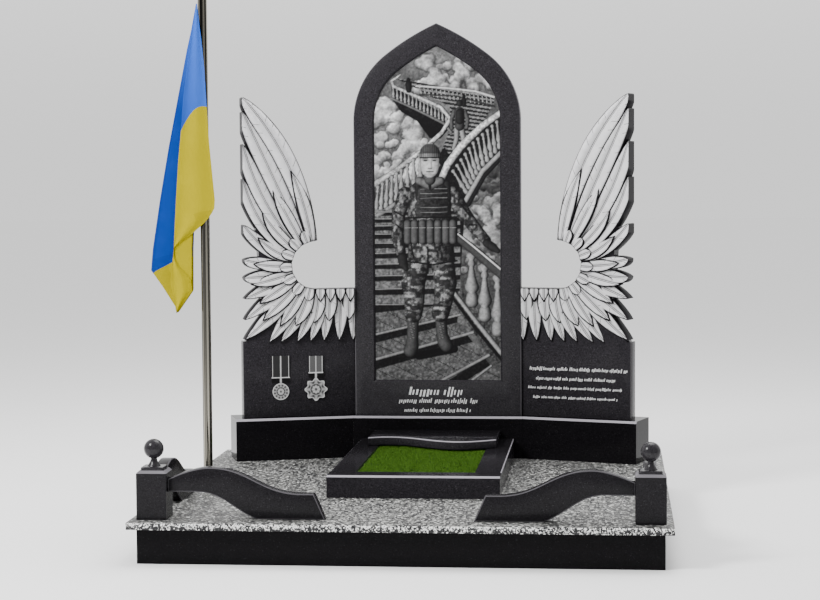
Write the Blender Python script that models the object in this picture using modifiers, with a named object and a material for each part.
"""Black granite family memorial with carved wings.

A pointed stele stands on a three-part base that is angled like an open book. A panel with a
carved wing leans out from each side of it. In front lie a paved yard, a flower bed with a
waved cover slab, four S-shaped kerbs and two posts with ball finials. A steel flagpole with a
hanging flag stands at the left.

Units are metres, +Z is up, -Y is the front. The origin is the centre of the plinth's underside.
"""
import math

import bmesh
import bpy
from mathutils import Matrix, Vector

for stale in list(bpy.data.objects):
    bpy.data.objects.remove(stale, do_unlink=True)

# General fits
seat_gap = 0.0003
cutter_margin = 0.02
edge_bevel = 0.004
eased_angle = math.radians(50.0)
weld_distance = 0.00005
same_place = 0.00001

# Plinth and paving
plinth_height = 0.14
paving_width = 2.14
paving_depth = 2.12
paving_thickness = 0.03
paving_overhang = 0.035
paving_joint = 0.002
middle_paving_width = 0.742
paving_bevel = 0.003

# Posts and ball finials
post_side = 0.12
post_height = 0.195
post_inset = 0.03
post_setback = 0.06
post_bevel = 0.011
finial_plate_side = 0.093
finial_plate_height = 0.012
finial_bell_radius = 0.027
finial_bell_height = 0.031
finial_neck_radius = 0.012
finial_ball_radius = 0.0395
ball_steps = 10
bell_steps = 4
turned_steps = 20

# S-shaped kerbs, as heights above the paving and distances from the post
kerb_thickness = 0.05
kerb_length = 0.627
kerb_end_slope = 0.045
kerb_start_height = 0.158
kerb_crest_height = 0.205
kerb_crest_distance = 0.165
kerb_low_height = 0.103
kerb_low_distance = 0.53
kerb_arch_height = 0.107
kerb_arch_start = 0.11
kerb_foot_distance = 0.354
kerb_shoulder_swell = 0.035
kerb_long_handle = 0.44
kerb_short_handle = 0.03
kerb_arch_knee = 0.045
kerb_curve_steps = 7

# Flower bed
bed_width = 0.73
bed_height = 0.095
bed_bar_width = 0.11
bed_front = 0.65
bed_bevel = 0.008
turf_recess = 0.013
cover_width = 0.60
cover_thickness = 0.04
cover_reach = 0.34
wave_height = 0.08
wave_length = 0.66
wave_crest_offset = -0.2
wave_steps = 20

# Three-part base
base_front = 1.87
base_height = 0.20
base_depth = 0.20
base_middle_width = 0.81
base_side_length = 0.565
base_angle = math.radians(18.0)
base_bevel = 0.010

# Stele with a sunk picture field
stele_width = 0.80
stele_height = 1.872
stele_thickness = 0.08
stele_setback = 0.05
shoulder_angle = math.radians(52.0)
crown_radius = 1.18
arch_steps = 9
field_margin = 0.09
field_sill = 0.16
field_depth = 0.012
field_slope = 0.009

# Side panels and carved wings, measured along the panel from the base's corner
panel_height = 0.365
panel_reach = 0.52
panel_rise = 0.075
panel_rise_reach = 0.365
panel_thickness = 0.08
wing_reach = 0.512
notch_radius = 0.114
notch_centre_reach = 0.172
notch_centre_height = 0.726
side_tip_heights = (1.525, 1.457, 1.304, 1.139, 0.921, 0.755, 0.670, 0.569, 0.469, 0.374)
bottom_tip_count = 7
bottom_tip_height = 0.358
root_shares = (0.0, 0.13, 0.255, 0.36, 0.445, 0.54, 0.627, 0.753, 1.0)
second_row_shares = (0.47, 0.47, 0.52, 0.66, 0.82, 0.86, 0.72, 0.70, 0.72, 0.68, 0.64, 0.62, 0.62)
covert_count = 11
covert_length = 0.074
wing_lift = 0.002
row_lift = 0.0065
feather_ridge = 0.008
feather_tilt = 0.0025
feather_root_inset = 0.012
feather_bend_share = 0.5
flight_half_width = (0.024, 0.036)
second_half_width = (0.022, 0.028)
covert_half_width = 0.029
notch_first_angle = math.radians(82.0)
notch_steps = 40
core_share = 0.7
core_steps = 16
core_recess = 0.004
behind_stele = 0.06
stagger = 0.0007

# Feather forms as (share of length, width on the upper side, width on the lower side)
long_feather = ((0.0, 0.6, 0.6), (0.3, 0.9, 0.9), (0.6, 1.1, 0.95), (0.85, 0.9, 0.5))
short_feather = ((0.0, 0.7, 0.7), (0.4, 1.0, 1.0), (0.78, 0.85, 0.65))
round_feather = ((0.0, 0.8, 0.8), (0.5, 1.0, 1.0), (0.86, 0.72, 0.72))

# Flagpole and flag
pole_radius = 0.020
pole_top_height = 2.355
pole_ball_radius = 0.030
pole_foot_radius = 0.048
pole_foot_height = 0.008
pole_from_paving_side = 0.155
pole_from_paving_front = 0.88
pole_steps = 8
flag_hoist = 0.90
flag_hoist_top = 2.27
flag_drop = 1.345
flag_swing = 0.245
flag_lean = 0.034
flag_sleeve = 0.022
flag_corner_rise = 0.17
flag_corner_edge = 0.05
flag_thickness = 0.05
flag_clearance = 0.001

# Levels and lines that follow from the sizes above
paving_top = plinth_height + paving_thickness
front_line = -paving_depth / 2
side_line = paving_width / 2
base_line = front_line + base_front
base_top = paving_top + base_height
post_x = side_line - post_inset - post_side / 2
post_y = front_line + post_setback + post_side / 2
post_top = paving_top + post_height
bed_top = paving_top + bed_height
stele_front = base_line + stele_setback

monument = bpy.data.collections.new("granite_monument")
cutters = bpy.data.collections.new("cutters")
bpy.context.scene.collection.children.link(monument)
bpy.context.scene.collection.children.link(cutters)


def make_material(name, colour, roughness, metallic=0.0):
    material = bpy.data.materials.new(name)
    material.use_nodes = True
    shader = material.node_tree.nodes["Principled BSDF"]
    shader.inputs["Base Color"].default_value = (*colour, 1.0)
    shader.inputs["Roughness"].default_value = roughness
    shader.inputs["Metallic"].default_value = metallic
    material.diffuse_color = (*colour, 1.0)
    return material


black_granite = make_material("black_granite", (0.028, 0.028, 0.033), 0.18)
grey_granite = make_material("grey_granite", (0.34, 0.34, 0.33), 0.40)
carved_granite = make_material("carved_granite", (0.55, 0.55, 0.56), 0.75)
turf_green = make_material("turf_green", (0.06, 0.16, 0.02), 0.95)
polished_steel = make_material("polished_steel", (0.62, 0.61, 0.58), 0.22, 1.0)
flag_cloth = make_material("flag_cloth", (0.05, 0.18, 0.60), 0.85)


def add_object(name, data, material=None, collection=monument):
    """Link mesh or curve data as an object with its material."""
    piece = bpy.data.objects.new(name, data)
    if material:
        data.materials.append(material)
    collection.objects.link(piece)
    return piece


def mesh_from(bm, name):
    mesh = bpy.data.meshes.new(name)
    bm.to_mesh(mesh)
    bm.free()
    return mesh


def cube_between(low, high):
    """A bmesh box from its lowest to its highest corner."""
    bm = bmesh.new()
    bmesh.ops.create_cube(bm, size=1.0)
    low = Vector(low)
    high = Vector(high)
    for vertex in bm.verts:
        share = vertex.co + Vector((0.5, 0.5, 0.5))
        vertex.co = low + Vector((share[i] * (high[i] - low[i]) for i in range(3)))
    return bm


def bevel_where(bm, width, test):
    """Cut a flat bevel on every edge whose two ends pass the test."""
    edges = [edge for edge in bm.edges if all(test(vertex.co) for vertex in edge.verts)]
    bmesh.ops.bevel(bm, geom=edges, offset=width, segments=1, profile=0.5, affect="EDGES")


def near(value, target):
    return abs(value - target) < same_place


def block(name, low, high, material, bevel=0.0, test=None):
    bm = cube_between(low, high)
    if bevel:
        bevel_where(bm, bevel, test)
    return add_object(name, mesh_from(bm, name), material)


def freeze(piece, weld=0.0):
    """Turn an object with modifiers, or a curve, into a plain mesh at its place."""
    bpy.context.view_layer.update()
    evaluated = piece.evaluated_get(bpy.context.evaluated_depsgraph_get())
    mesh = bpy.data.meshes.new_from_object(evaluated)
    mesh.transform(piece.matrix_world)
    if weld:
        bm = bmesh.new()
        bm.from_mesh(mesh)
        bmesh.ops.remove_doubles(bm, verts=bm.verts, dist=weld)
        bm.to_mesh(mesh)
        bm.free()
    name = piece.name
    material = piece.data.materials[0] if piece.data.materials else None
    collection = piece.users_collection[0]
    bpy.data.objects.remove(piece, do_unlink=True)
    mesh.materials.clear()
    return add_object(name, mesh, material, collection)


def mirrored(piece, name):
    """The same shape on the other side of the plane X = 0."""
    bm = bmesh.new()
    bm.from_mesh(piece.data)
    bm.transform(Matrix.Diagonal((-1.0, 1.0, 1.0, 1.0)))
    bmesh.ops.reverse_faces(bm, faces=bm.faces)
    mesh = mesh_from(bm, name)
    mesh.materials.clear()
    return add_object(name, mesh, piece.data.materials[0])


def boolean(piece, operation, operand, solver="EXACT"):
    modifier = piece.modifiers.new(operation.lower(), "BOOLEAN")
    modifier.operation = operation
    modifier.solver = solver
    modifier.object = operand


def make_cutter(name, data):
    cutter = add_object(name, data, collection=cutters)
    cutter.hide_render = True
    cutter.display_type = "WIRE"
    return cutter


def turned(name, profile, centre, material):
    """A solid turned about the upright through centre, from (radius, height) pairs, top first."""
    mesh = bpy.data.meshes.new(name)
    points = [(radius, 0.0, height) for radius, height in profile]
    mesh.from_pydata(points, [(i, i + 1) for i in range(len(points) - 1)], [])
    piece = add_object(name, mesh, material)
    piece.location = centre
    screw = piece.modifiers.new("turn", "SCREW")
    screw.steps = turned_steps
    screw.render_steps = turned_steps
    screw.use_merge_vertices = True
    screw.merge_threshold = weld_distance
    return piece


def ball_profile(radius, centre_height, neck_radius, steps):
    """Points down a ball from its top pole to where it meets a neck."""
    last = math.pi - math.asin(neck_radius / radius)
    points = []
    for i in range(steps + 1):
        angle = last * i / steps
        points.append((radius * math.sin(angle), centre_height + radius * math.cos(angle)))
    return points


def make_plinth_and_paving():
    edge = side_line - paving_overhang
    depth = paving_depth / 2 - paving_overhang
    block("plinth", (-edge, -depth, 0.0), (edge, depth, plinth_height - seat_gap), black_granite)

    joint = middle_paving_width / 2
    strips = {
        "paving_left": (-side_line, -joint - paving_joint),
        "paving_middle": (-joint, joint),
        "paving_right": (joint + paving_joint, side_line),
    }
    for name, (left, right) in strips.items():
        low = (left, front_line, plinth_height)
        high = (right, -front_line, paving_top - seat_gap)

        bm = cube_between(low, high)
        edges = []
        for edge in bm.edges:
            middle = (edge.verts[0].co + edge.verts[1].co) / 2
            on_rim = near(abs(middle.y), -front_line) or near(abs(middle.x), side_line)
            if on_rim and near(middle.z, high[2]):
                edges.append(edge)
        bmesh.ops.bevel(bm, geom=edges, offset=paving_bevel, segments=1, affect="EDGES")
        add_object(name, mesh_from(bm, name), grey_granite)


def make_post_and_finial(side, sign):
    half = post_side / 2
    x = sign * post_x
    low = (x - half, post_y - half, paving_top)
    high = (x + half, post_y + half, post_top - seat_gap)
    top = high[2]
    block("post_" + side, low, high, black_granite, post_bevel, lambda co: near(co.z, top))

    neck_height = finial_plate_height + finial_bell_height
    ball_centre = neck_height + math.sqrt(finial_ball_radius ** 2 - finial_neck_radius ** 2)
    profile = ball_profile(finial_ball_radius, ball_centre, finial_neck_radius, ball_steps)
    flare = finial_bell_radius - finial_neck_radius
    for i in range(1, bell_steps + 1):
        share = i / bell_steps
        radius = finial_neck_radius + flare * (1.0 - math.cos(share * math.pi / 2))
        profile.append((radius, neck_height - (finial_bell_height - seat_gap) * share))
    profile.append((finial_bell_radius, finial_plate_height / 2))
    profile.append((0.0, finial_plate_height / 2))
    knob = freeze(turned("knob_" + side, profile, (x, post_y, post_top), black_granite))

    half_plate = finial_plate_side / 2
    plate_top = post_top + finial_plate_height
    plate_low = (x - half_plate, post_y - half_plate, post_top)
    plate_high = (x + half_plate, post_y + half_plate, plate_top)
    finial = block("finial_" + side, plate_low, plate_high, black_granite, edge_bevel,
                   lambda co: near(co.z, plate_top))
    boolean(finial, "UNION", knob)
    freeze(finial)
    bpy.data.objects.remove(knob, do_unlink=True)


def ease_edges(piece):
    """Close a filled curve's mesh and take a small flat bevel off its sharp edges."""
    weld = piece.modifiers.new("weld", "WELD")
    weld.merge_threshold = weld_distance
    bevel = piece.modifiers.new("eased_edges", "BEVEL")
    bevel.width = edge_bevel
    bevel.segments = 1
    bevel.limit_method = "ANGLE"
    bevel.angle_limit = eased_angle


def kerb_outline(name):
    """The kerb's face: crest and hollow above, an arch below, and a raked end."""
    end_top = kerb_length - kerb_end_slope
    arch_reach = kerb_foot_distance - kerb_arch_start
    hollow_reach = kerb_low_distance - kerb_crest_distance
    # Each knot: point, left handle and right handle
    start = (0.0, kerb_start_height)
    crest = (kerb_crest_distance, kerb_crest_height)
    low = (kerb_low_distance, kerb_low_height)
    knots = (
        (start, start, (crest[0] * kerb_long_handle, start[1] + kerb_shoulder_swell)),
        (crest, (crest[0] - kerb_short_handle, crest[1]),
         (crest[0] + hollow_reach * kerb_long_handle, crest[1])),
        (low, (low[0] - hollow_reach * kerb_long_handle, low[1]), (low[0] + kerb_short_handle, low[1])),
        ((end_top, kerb_low_height), None, None),
        ((kerb_length, 0.0), None, None),
        ((kerb_foot_distance, 0.0), None,
         (kerb_foot_distance - arch_reach * kerb_long_handle, kerb_arch_knee)),
        ((kerb_arch_start, kerb_arch_height),
         (kerb_arch_start + arch_reach * kerb_long_handle, kerb_arch_height),
         (kerb_arch_start - kerb_short_handle, kerb_arch_height)),
        ((0.0, kerb_arch_height), None, None),
    )
    curve = bpy.data.curves.new(name, "CURVE")
    curve.dimensions = "2D"
    curve.fill_mode = "BOTH"
    curve.extrude = kerb_thickness / 2
    curve.resolution_u = kerb_curve_steps
    spline = curve.splines.new("BEZIER")
    spline.use_cyclic_u = True
    spline.bezier_points.add(len(knots) - 1)
    for point, (place, left, right) in zip(spline.bezier_points, knots):
        point.handle_left_type = "FREE" if left else "VECTOR"
        point.handle_right_type = "FREE" if right else "VECTOR"
        point.co = (*place, 0.0)
        if left:
            point.handle_left = (*left, 0.0)
        if right:
            point.handle_right = (*right, 0.0)
    return curve


def make_kerbs():
    off_post = post_side / 2 + seat_gap
    placings = {
        "front_kerb_left": (-post_x + off_post, post_y, 0.0),
        "front_kerb_right": (post_x - off_post, post_y, math.pi),
        "side_kerb_left": (-post_x, post_y + off_post, math.pi / 2),
        "side_kerb_right": (post_x, post_y + off_post, math.pi / 2),
    }
    for name, (x, y, turn) in placings.items():
        kerb = add_object(name, kerb_outline(name), black_granite)
        kerb.rotation_euler = (math.pi / 2, 0.0, turn)
        kerb.location = (x, y, paving_top)
        ease_edges(kerb)


def wave_front(x):
    """The cover slab's front edge: one long wave across its width."""
    phase = 2 * math.pi * (x - wave_crest_offset) / wave_length
    return base_line - cover_reach + wave_height * math.cos(phase)


def make_flower_bed():
    half = bed_width / 2
    inner = half - bed_bar_width
    front = front_line + bed_front
    back = base_line - seat_gap
    top = bed_top - seat_gap
    bar_back = front + bed_bar_width

    block("bed_front", (-half, front, paving_top), (half, bar_back, top), black_granite,
          bed_bevel, lambda co: near(co.z, top) and near(co.y, front))
    for side, sign in (("left", -1), ("right", 1)):
        outer_x = sign * half
        low_x = min(outer_x, sign * inner)
        high_x = max(outer_x, sign * inner)
        block("bed_" + side, (low_x, bar_back + seat_gap, paving_top), (high_x, back, top),
              black_granite, edge_bevel, lambda co, x=outer_x: near(co.z, top) and near(co.x, x))

    gap = seat_gap
    block("turf", (-inner + gap, bar_back + gap, paving_top), (inner - gap, back, bed_top - turf_recess),
          turf_green)

    half_cover = cover_width / 2
    outline = [(half_cover, back), (-half_cover, back)]
    for i in range(wave_steps + 1):
        x = -half_cover + cover_width * i / wave_steps
        outline.append((x, wave_front(x)))
    curve = poly_outline("cover_slab", outline, cover_thickness)
    cover = add_object("cover_slab", curve, black_granite)
    cover.location = (0.0, 0.0, bed_top + cover_thickness / 2)
    ease_edges(cover)


def poly_outline(name, outline, thickness):
    """A flat outline of straight steps with a thickness, centred on its plane."""
    curve = bpy.data.curves.new(name, "CURVE")
    curve.dimensions = "2D"
    curve.fill_mode = "BOTH"
    curve.extrude = thickness / 2
    spline = curve.splines.new("POLY")
    spline.use_cyclic_u = True
    spline.points.add(len(outline) - 1)
    for point, (x, y) in zip(spline.points, outline):
        point.co = (x, y, 0.0, 1.0)
    return curve


def mitred_block(name, front_left, front_right, back_left, back_right):
    """A base stone whose four corners in plan are given, bevelled along its front and ends."""
    bm = cube_between((0.0, 0.0, paving_top), (1.0, 1.0, base_top - seat_gap))
    corners = {(0, 0): front_left, (1, 0): front_right, (0, 1): back_left, (1, 1): back_right}
    for vertex in bm.verts:
        x, y = corners[(round(vertex.co.x), round(vertex.co.y))]
        vertex.co.x = x
        vertex.co.y = y
    fronts = (Vector(front_left), Vector(front_right))

    def on_front(edge):
        ends = [vertex.co.to_2d() for vertex in edge.verts]
        top = all(near(vertex.co.z, base_top - seat_gap) for vertex in edge.verts)
        return top and all(min((end - front).length for front in fronts) < same_place for end in ends)

    edges = [edge for edge in bm.edges if on_front(edge)]
    bmesh.ops.bevel(bm, geom=edges, offset=base_bevel, segments=1, affect="EDGES")
    return add_object(name, mesh_from(bm, name), black_granite)


def make_base():
    half = base_middle_width / 2
    splay = base_depth * math.tan(base_angle / 2)
    back = base_line + base_depth
    inner_front = Vector((half, base_line))
    inner_back = Vector((half + splay, back))
    outward = Vector((math.cos(base_angle), -math.sin(base_angle)))
    inward = Vector((math.sin(base_angle), math.cos(base_angle)))
    outer_front = inner_front + base_side_length * outward
    outer_back = outer_front + base_depth * inward
    mitre = Vector((seat_gap, 0.0))

    middle_back = (half + splay - seat_gap, back)
    mitred_block("base_middle", (-half + seat_gap, base_line), (half - seat_gap, base_line),
                 (-middle_back[0], back), middle_back)
    right = mitred_block("base_right", inner_front + mitre, outer_front, inner_back + mitre, outer_back)
    mirrored(right, "base_left")


def arch_points(inset):
    """Right half of the pointed arch from its springing to the tip, moved inwards by inset.

    Each half is two arcs: a shoulder whose radius is half the width, and a flatter crown arc
    that meets it without a break and ends on the centre line.
    """
    shoulder = stele_width / 2
    offset = (crown_radius - shoulder) * math.cos(shoulder_angle)
    fall = (crown_radius - shoulder) * math.sin(shoulder_angle)
    tip_rise = math.sqrt(crown_radius ** 2 - offset ** 2) - fall
    springing = stele_height - tip_rise
    points = []
    for i in range(arch_steps + 1):
        angle = shoulder_angle * i / arch_steps
        reach = shoulder - inset
        points.append((reach * math.cos(angle), springing + reach * math.sin(angle)))
    radius = crown_radius - inset
    tip_angle = math.acos(offset / radius)
    for i in range(1, arch_steps + 1):
        angle = shoulder_angle + (tip_angle - shoulder_angle) * i / arch_steps
        points.append((radius * math.cos(angle) - offset, springing - fall + radius * math.sin(angle)))
    return points


def pointed_outline(inset, foot):
    """The whole outline, anticlockwise from its lower right corner."""
    right = [(stele_width / 2 - inset, foot)] + arch_points(inset)
    left = [(-x, z) for x, z in reversed(right[:-1])]
    return right + left


def lofted(name, near_outline, near_y, far_outline, far_y):
    """A closed solid between two outlines with as many points, lying in planes across Y."""
    bm = bmesh.new()
    near_ring = [bm.verts.new((x, near_y, z)) for x, z in near_outline]
    far_ring = [bm.verts.new((x, far_y, z)) for x, z in far_outline]
    bm.faces.new(near_ring)
    bm.faces.new(list(reversed(far_ring)))
    count = len(near_ring)
    for i in range(count):
        j = (i + 1) % count
        bm.faces.new((near_ring[j], near_ring[i], far_ring[i], far_ring[j]))
    bmesh.ops.recalc_face_normals(bm, faces=bm.faces)
    return mesh_from(bm, name)


def make_stele():
    outline = pointed_outline(0.0, 0.0)
    eased = pointed_outline(edge_bevel, edge_bevel)
    eased[0] = (eased[0][0], 0.0)
    eased[-1] = (eased[-1][0], 0.0)
    bm = bmesh.new()
    depths = ((eased, 0.0), (outline, edge_bevel), (outline, stele_thickness))
    rings = []
    for points, depth in depths:
        rings.append([bm.verts.new((x, stele_front + depth, base_top + z)) for x, z in points])
    for first, second in zip(rings, rings[1:]):
        for i in range(len(first)):
            j = (i + 1) % len(first)
            bm.faces.new((first[j], first[i], second[i], second[j]))
    bm.faces.new(rings[0])
    bm.faces.new(list(reversed(rings[-1])))
    bmesh.ops.recalc_face_normals(bm, faces=bm.faces)
    stele = add_object("stele", mesh_from(bm, "stele"), black_granite)

    rate = field_slope / field_depth
    proud = cutter_margin
    wide = [(x, base_top + z) for x, z in pointed_outline(field_margin - proud * rate,
                                                          field_sill - proud * rate)]
    tight = [(x, base_top + z) for x, z in pointed_outline(field_margin + field_slope,
                                                           field_sill + field_slope)]
    sinker = make_cutter("picture_field_cutter", lofted("picture_field_cutter", wide,
                         stele_front - proud, tight, stele_front + field_depth))
    boolean(stele, "DIFFERENCE", sinker)


def along_list(values, share):
    """A value between the entries of a list, for a share from 0 to 1 of its length."""
    place = share * (len(values) - 1)
    index = min(int(place), len(values) - 2)
    return values[index] + (values[index + 1] - values[index]) * (place - index)


def notch_point(share):
    """A point on the round notch and its straight foot, and the direction out of it."""
    centre = Vector((notch_centre_reach, notch_centre_height))
    arc = notch_radius * (notch_first_angle + math.pi / 2)
    straight = notch_centre_reach
    travelled = share * (arc + straight)
    if travelled < arc:
        angle = notch_first_angle - travelled / notch_radius
        outward = Vector((math.cos(angle), math.sin(angle)))
        return centre + notch_radius * outward, outward
    foot = Vector((notch_centre_reach - (travelled - arc), notch_centre_height - notch_radius))
    return foot, Vector((0.0, -1.0))


def fan_tip(share):
    """Where the outer feathers end: down the stone's outer edge, then along the polished panel."""
    reaches = [wing_reach] * len(side_tip_heights)
    heights = list(side_tip_heights)
    for i in range(bottom_tip_count):
        reaches.append(wing_reach * (bottom_tip_count - i - 1) / bottom_tip_count)
        heights.append(bottom_tip_height)
    return Vector((along_list(reaches, share), along_list(heights, share)))


def fan_curve(share):
    """Root, bend and tip of the feather axis at a share of the way round the fan."""
    root_point, outward = notch_point(along_list(root_shares, share))
    root = root_point - feather_root_inset * outward
    tip = fan_tip(share)
    bend = root + outward * (tip - root).length * feather_bend_share
    return root, bend, tip


def bezier(root, bend, tip, t):
    return (1 - t) ** 2 * root + 2 * t * (1 - t) * bend + t * t * tip


def feather_solid(bm, axis, half_width, lift, form, order):
    """One feather as a ridged leaf that runs through the stone's whole thickness.

    axis gives the feather's centre line for t from 0 to 1. The side away from the next feather
    up is a little prouder, so that each feather seems to overlap its neighbour.
    """
    back = panel_thickness + cutter_margin + stagger * order
    fronts = []
    backs = []
    for t, upper_width, lower_width in form:
        centre = axis(t)
        ahead = axis(t + 0.01) - axis(t)
        across = Vector((-ahead.y, ahead.x)).normalized() * half_width
        upper = centre + across * upper_width
        lower = centre - across * lower_width
        ridge = -lift - feather_ridge
        fronts.append((bm.verts.new((upper.x, -lift + feather_tilt, upper.y)),
                       bm.verts.new((centre.x, ridge, centre.y)),
                       bm.verts.new((lower.x, -lift - feather_tilt, lower.y))))
        backs.append((bm.verts.new((upper.x, back, upper.y)), bm.verts.new((lower.x, back, lower.y))))
    end = axis(1.0)
    front_tip = bm.verts.new((end.x, -lift, end.y))
    back_tip = bm.verts.new((end.x, back, end.y))
    for first, second, rear, rear_next in zip(fronts, fronts[1:], backs, backs[1:]):
        bm.faces.new((first[0], first[1], second[1], second[0]))
        bm.faces.new((first[1], first[2], second[2], second[1]))
        bm.faces.new((first[0], second[0], rear_next[0], rear[0]))
        bm.faces.new((first[2], rear[1], rear_next[1], second[2]))
        bm.faces.new((rear[0], rear_next[0], rear_next[1], rear[1]))
    last = fronts[-1]
    rear = backs[-1]
    bm.faces.new((last[0], last[1], front_tip))
    bm.faces.new((last[1], last[2], front_tip))
    bm.faces.new((last[0], front_tip, back_tip, rear[0]))
    bm.faces.new((last[2], rear[1], back_tip, front_tip))
    bm.faces.new((rear[0], back_tip, rear[1]))
    bm.faces.new((fronts[0][0], backs[0][0], backs[0][1], fronts[0][2], fronts[0][1]))


def feather_axes():
    """Every feather: its centre line, half width, lift above the polished face and form."""
    feathers = []
    flight_count = len(side_tip_heights) + bottom_tip_count
    for i in range(flight_count):
        curve = fan_curve(i / (flight_count - 1))
        length = (curve[2] - curve[0]).length
        half_width = flight_half_width[0] + flight_half_width[1] * length
        feathers.append((lambda t, c=curve: bezier(*c, t), half_width, wing_lift, long_feather))
    second_count = len(second_row_shares)
    for i in range(second_count):
        share = second_row_shares[i]
        curve = fan_curve(i / (second_count - 0.5))
        half_width = second_half_width[0] + second_half_width[1] * (curve[2] - curve[0]).length * share
        feathers.append((lambda t, c=curve, s=share: bezier(*c, t * s), half_width,
                         wing_lift + row_lift, short_feather))
    for i in range(covert_count):
        root, outward = notch_point((i + 0.4) / covert_count)
        start = root - feather_root_inset * outward
        run = outward * (covert_length + feather_root_inset)
        feathers.append((lambda t, r=start, o=run: r + o * t, covert_half_width,
                         wing_lift + 2 * row_lift, round_feather))
    return feathers


def panel_frame():
    """Matrix from the right panel's own frame: X along it, Y into it, Z up from the base."""
    inward = Vector((math.sin(base_angle), math.cos(base_angle), 0.0))
    outward = Vector((math.cos(base_angle), -math.sin(base_angle), 0.0))
    corner = Vector((base_middle_width / 2, base_line, base_top)) + stele_setback * inward
    return Matrix((
        (outward.x, inward.x, 0.0, corner.x),
        (outward.y, inward.y, 0.0, corner.y),
        (0.0, 0.0, 1.0, corner.z),
        (0.0, 0.0, 0.0, 1.0),
    ))


def make_wings():
    """The right panel with its wing, one stone, and the left one as its mirror image.

    The feathers are joined one by one to the panel. Their roots are cut off by the round notch
    and their backs by one flat face.
    """
    frame = panel_frame()

    def shape_in_panel(name, bm):
        bmesh.ops.recalc_face_normals(bm, faces=bm.faces)
        bm.transform(frame)
        return make_cutter(name, mesh_from(bm, name))

    panel = cube_between((-behind_stele, 0.0, 0.0),
                         (panel_reach, panel_thickness + cutter_margin / 2, panel_height))
    panel.transform(frame)
    wing = add_object("wing_right", mesh_from(panel, "wing_right"), carved_granite)

    core = bmesh.new()
    core_inner = stagger - behind_stele
    ring = [bezier(*fan_curve(i / core_steps), core_share) for i in range(core_steps + 1)]
    ring.append(Vector((core_inner, panel_height - behind_stele)))
    ring.append(Vector((core_inner, notch_centre_height)))
    ring.append(Vector((notch_centre_reach, notch_centre_height)))
    back = panel_thickness + cutter_margin / 2 + stagger
    front = [core.verts.new((point.x, core_recess, point.y)) for point in ring]
    rear = [core.verts.new((point.x, back, point.y)) for point in ring]
    core.faces.new(front)
    core.faces.new(list(reversed(rear)))
    for i in range(len(ring)):
        j = (i + 1) % len(ring)
        core.faces.new((front[j], front[i], rear[i], rear[j]))
    rise = cube_between((2 * stagger - behind_stele, stagger, panel_height / 2),
                        (panel_rise_reach, back + stagger, panel_height + panel_rise))
    added = [shape_in_panel("wing_core", core), shape_in_panel("polished_rise", rise)]
    for index, (axis, half_width, lift, form) in enumerate(feather_axes()):
        bm = bmesh.new()
        feather_solid(bm, axis, half_width, lift, form, index)
        added.append(shape_in_panel(f"feather_{index}", bm))
    for shape in added:
        boolean(wing, "UNION", shape, "MANIFOLD")
        wing = freeze(wing)
        bpy.data.objects.remove(shape, do_unlink=True)

    deep = panel_thickness + 4 * cutter_margin
    notch = bmesh.new()
    bmesh.ops.create_cone(notch, cap_ends=True, segments=notch_steps, radius1=notch_radius,
                          radius2=notch_radius, depth=2 * deep,
                          matrix=Matrix.Rotation(math.pi / 2, 4, "X"))
    bmesh.ops.translate(notch, verts=notch.verts,
                        vec=(notch_centre_reach, panel_thickness / 2, notch_centre_height))
    slot = cube_between((-notch_centre_reach, -deep, notch_centre_height - notch_radius),
                        (notch_centre_reach, deep, notch_centre_height + notch_radius))
    behind = cube_between((-stele_width, panel_thickness, -stele_height),
                          (stele_width, deep, stele_height))
    cuts = [shape_in_panel("notch_round_cutter", notch), shape_in_panel("notch_slot_cutter", slot),
            shape_in_panel("back_cutter", behind)]
    beside = cube_between((0.0, stele_front - stele_width, 0.0),
                          (stele_width / 2 + seat_gap, stele_front + stele_width,
                           base_top + stele_height))
    cuts.append(make_cutter("stele_side_cutter", mesh_from(beside, "stele_side_cutter")))
    for cutter in cuts:
        boolean(wing, "DIFFERENCE", cutter, "MANIFOLD")
    mirrored(freeze(wing), "wing_left")


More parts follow.
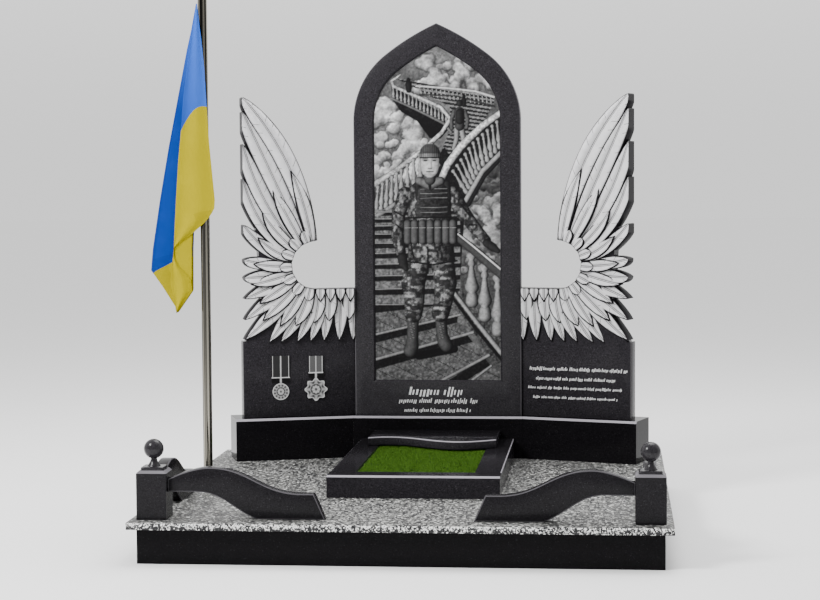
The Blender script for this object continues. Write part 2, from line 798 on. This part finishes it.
def make_flagpole_and_flag():
    x = -side_line + pole_from_paving_side
    y = front_line + pole_from_paving_front
    top = pole_top_height - paving_top
    ball_centre = top + math.sqrt(pole_ball_radius ** 2 - pole_radius ** 2)
    profile = ball_profile(pole_ball_radius, ball_centre, pole_radius, pole_steps)
    profile.append((pole_radius, pole_foot_height))
    profile.append((pole_foot_radius, pole_foot_height))
    profile.append((pole_foot_radius, 0.0))
    profile.append((0.0, 0.0))
    turned("flagpole", profile, (x, y, paving_top), polished_steel)

    right = x + flag_lean
    sleeve_left = x - flag_sleeve
    sleeve_right = x + flag_sleeve
    corner = x - flag_swing
    foot = flag_hoist_top - flag_drop
    hem = flag_hoist_top - flag_hoist
    bulge = flag_corner_rise
    # Down the swinging side, round the hanging corner and back up past the hem and the belly
    outline = (
        (sleeve_left, flag_hoist_top),
        (corner, foot + bulge + flag_corner_edge),
        (corner + flag_sleeve / 4, foot + bulge),
        (corner + flag_swing * 0.42, foot),
        (corner + flag_swing * 0.68, foot + flag_corner_edge),
        (corner + flag_swing * 0.75, foot + bulge),
        (sleeve_left - flag_sleeve / 4, hem),
        (sleeve_right, hem + flag_corner_edge),
        (right, hem + 0.75 * bulge),
        (right, hem + 1.75 * bulge),
        (sleeve_right, flag_hoist_top - 1.3 * bulge),
        (sleeve_right, flag_hoist_top),
    )
    curve = poly_outline("flag", outline, flag_thickness)
    flag = add_object("flag", curve, flag_cloth)
    flag.rotation_euler = (math.pi / 2, 0.0, 0.0)
    flag.location = (0.0, y, 0.0)
    flag = freeze(flag, weld_distance)
    bore = bmesh.new()
    length = 2 * flag_drop
    bmesh.ops.create_cone(bore, cap_ends=True, segments=turned_steps,
                          radius1=pole_radius + flag_clearance,
                          radius2=pole_radius + flag_clearance, depth=length)
    bmesh.ops.translate(bore, verts=bore.verts, vec=(x, y, flag_hoist_top - length / 4))
    boolean(flag, "DIFFERENCE", make_cutter("sleeve_cutter", mesh_from(bore, "sleeve_cutter")))


make_plinth_and_paving()
make_post_and_finial("left", -1)
make_post_and_finial("right", 1)
make_kerbs()
make_flower_bed()
make_base()
make_stele()
make_wings()
make_flagpole_and_flag()
